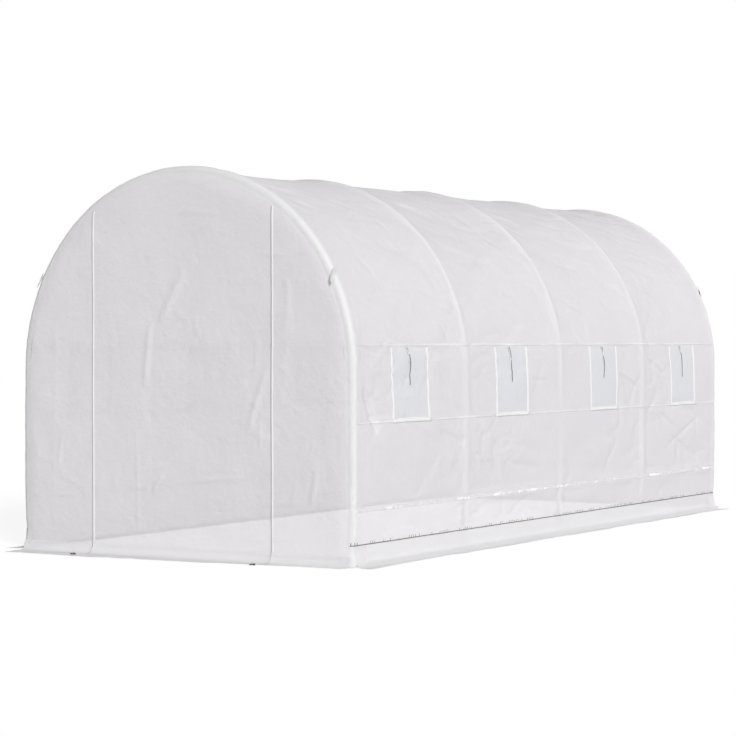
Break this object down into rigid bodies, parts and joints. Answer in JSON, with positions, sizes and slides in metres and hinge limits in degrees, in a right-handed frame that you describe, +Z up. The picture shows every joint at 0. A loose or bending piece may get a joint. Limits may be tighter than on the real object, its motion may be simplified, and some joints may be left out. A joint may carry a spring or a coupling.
{
  "type": "polytunnel greenhouse",
  "caption": "Walk-in arched tunnel greenhouse: bent tube hoops under a white translucent sheet cover with tied window flaps, a zipped door end and a ground skirt.",
  "frame": {"origin": "on the ground, under the middle of the tunnel", "axes": "+Z up, X across the tunnel, Y along it, with the zipped door end facing -Y"},
  "size_m": [2.21, 4.86, 1.96],
  "materials": {
    "coated_tube": "satin white powder coat",
    "moulded_clamp": "matt moulded plastic",
    "cover_sheet": "translucent white reinforced sheet",
    "zip_tape": "zip tape with fine coil",
    "binding_tape": "opaque sewn tape",
    "tab_webbing": "woven webbing",
    "window_flap": "translucent woven sheet",
    "window_net": "fine woven net",
    "tie_tape": "woven webbing",
    "slider_metal": "dark enamelled zip slider"
  },
  "bodies": {
    "root": {"base_rail_left": "coated_tube", "base_rail_rear": "coated_tube", "base_rail_right": "coated_tube", "base_saddles": "moulded_clamp", "door_panel": "cover_sheet", "door_zip_left": "zip_tape", "door_zip_right": "zip_tape", "foot_lugs": "coated_tube", "front_edge_band": "binding_tape", "front_panel_left": "cover_sheet", "front_panel_right": "cover_sheet", "guy_tabs": "tab_webbing", "hoop_1": "coated_tube", "hoop_2": "coated_tube", "hoop_3": "coated_tube", "hoop_4": "coated_tube", "hoop_5": "coated_tube", "rail_clamps": "moulded_clamp", "rear_edge_band": "binding_tape", "rear_panel": "cover_sheet", "ridge_rail": "coated_tube", "roof_strip_1": "cover_sheet", "roof_strip_2": "cover_sheet", "roof_strip_3": "cover_sheet", "roof_strip_4": "cover_sheet", "roof_strip_5": "cover_sheet", "roof_strip_6": "cover_sheet", "shoulder_rail_left": "coated_tube", "shoulder_rail_right": "coated_tube", "skirt_front": "cover_sheet", "skirt_left": "cover_sheet", "skirt_rear": "cover_sheet", "skirt_right": "cover_sheet", "wall_left_hem_band": "cover_sheet", "wall_left_plain_band": "cover_sheet", "wall_left_window_band": "cover_sheet", "wall_right_hem_band": "cover_sheet", "wall_right_plain_band": "cover_sheet", "wall_right_window_band": "cover_sheet", "window_bindings_left": "binding_tape", "window_bindings_right": "binding_tape", "window_flaps_left": "window_flap", "window_flaps_right": "window_flap", "window_nets_left": "window_net", "window_nets_right": "window_net", "window_ties_left": "tie_tape", "window_ties_right": "tie_tape", "zip_sliders": "slider_metal", "zip_tail_left": "zip_tape", "zip_tail_right": "zip_tape"}
  },
  "joints": []
}
